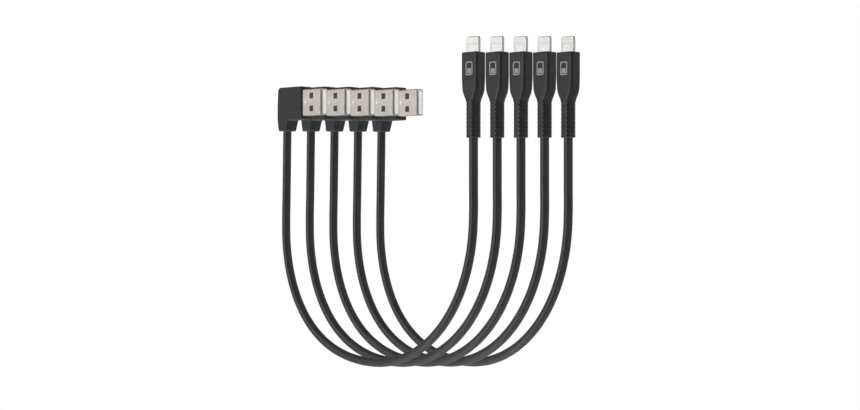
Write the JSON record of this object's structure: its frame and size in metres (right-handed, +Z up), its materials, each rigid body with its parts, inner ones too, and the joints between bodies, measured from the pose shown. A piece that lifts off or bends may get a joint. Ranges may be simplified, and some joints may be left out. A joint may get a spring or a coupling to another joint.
{
  "type": "phone charging cable set",
  "caption": "Row of short U-shaped phone charging cables, each with a right-angle charger plug at one end and a slim upright phone plug at the other.",
  "frame": {"origin": "middle of the shoulder that the middle cable's plug shell comes out of, which is where its plug stops against the charger port", "axes": "+X is the way the charger plugs go into their ports, +Y is across the row towards the back cable, +Z is up, the way the phone tabs point"},
  "size_m": [0.1471, 0.0392, 0.1414],
  "materials": {
    "moulding": "soft matte elastomer with a fine grain",
    "cord_jacket": "smooth satin elastomer",
    "inner_mould": "natural moulded plastic, hidden",
    "plug_metal": "nickel plated folded sheet, satin",
    "plug_insulator": "white moulded insulator",
    "contact_gold": "gold plated",
    "board": "solder-masked laminate, hidden",
    "tab_metal": "pale nickel plating, satin",
    "tab_insulator": "cream moulded insulator"
  },
  "bodies": {
    "cable_1": {"elbow_housing_1": "moulding", "inner_block_1": "inner_mould", "plug_shell_1": "plug_metal", "plug_tongue_1": "plug_insulator", "plug_contacts_1": "contact_gold", "cord_1": "cord_jacket", "phone_housing_1": "moulding", "circuit_board_1": "board", "phone_tab_1": "tab_metal", "tab_insert_1": "tab_insulator", "tab_contacts_1": "contact_gold"},
    "cable_2": {"elbow_housing_2": "moulding", "inner_block_2": "inner_mould", "plug_shell_2": "plug_metal", "plug_tongue_2": "plug_insulator", "plug_contacts_2": "contact_gold", "cord_2": "cord_jacket", "phone_housing_2": "moulding", "circuit_board_2": "board", "phone_tab_2": "tab_metal", "tab_insert_2": "tab_insulator", "tab_contacts_2": "contact_gold"},
    "cable_3": {"elbow_housing_3": "moulding", "inner_block_3": "inner_mould", "plug_shell_3": "plug_metal", "plug_tongue_3": "plug_insulator", "plug_contacts_3": "contact_gold", "cord_3": "cord_jacket", "phone_housing_3": "moulding", "circuit_board_3": "board", "phone_tab_3": "tab_metal", "tab_insert_3": "tab_insulator", "tab_contacts_3": "contact_gold"},
    "cable_4": {"elbow_housing_4": "moulding", "inner_block_4": "inner_mould", "plug_shell_4": "plug_metal", "plug_tongue_4": "plug_insulator", "plug_contacts_4": "contact_gold", "cord_4": "cord_jacket", "phone_housing_4": "moulding", "circuit_board_4": "board", "phone_tab_4": "tab_metal", "tab_insert_4": "tab_insulator", "tab_contacts_4": "contact_gold"},
    "cable_5": {"elbow_housing_5": "moulding", "inner_block_5": "inner_mould", "plug_shell_5": "plug_metal", "plug_tongue_5": "plug_insulator", "plug_contacts_5": "contact_gold", "cord_5": "cord_jacket", "phone_housing_5": "moulding", "circuit_board_5": "board", "phone_tab_5": "tab_metal", "tab_insert_5": "tab_insulator", "tab_contacts_5": "contact_gold"}
  },
  "joints": [
    {"name": "cable_1_unplug", "type": "slide", "parent": "cable_3", "child": "cable_1", "axis": [-1, 0, 0], "range_m": [0, 0.015]},
    {"name": "cable_2_unplug", "type": "slide", "parent": "cable_3", "child": "cable_2", "axis": [-1, 0, 0], "range_m": [0, 0.015]},
    {"name": "cable_4_unplug", "type": "slide", "parent": "cable_3", "child": "cable_4", "axis": [-1, 0, 0], "range_m": [0, 0.015]},
    {"name": "cable_5_unplug", "type": "slide", "parent": "cable_3", "child": "cable_5", "axis": [-1, 0, 0], "range_m": [0, 0.015]}
  ]
}
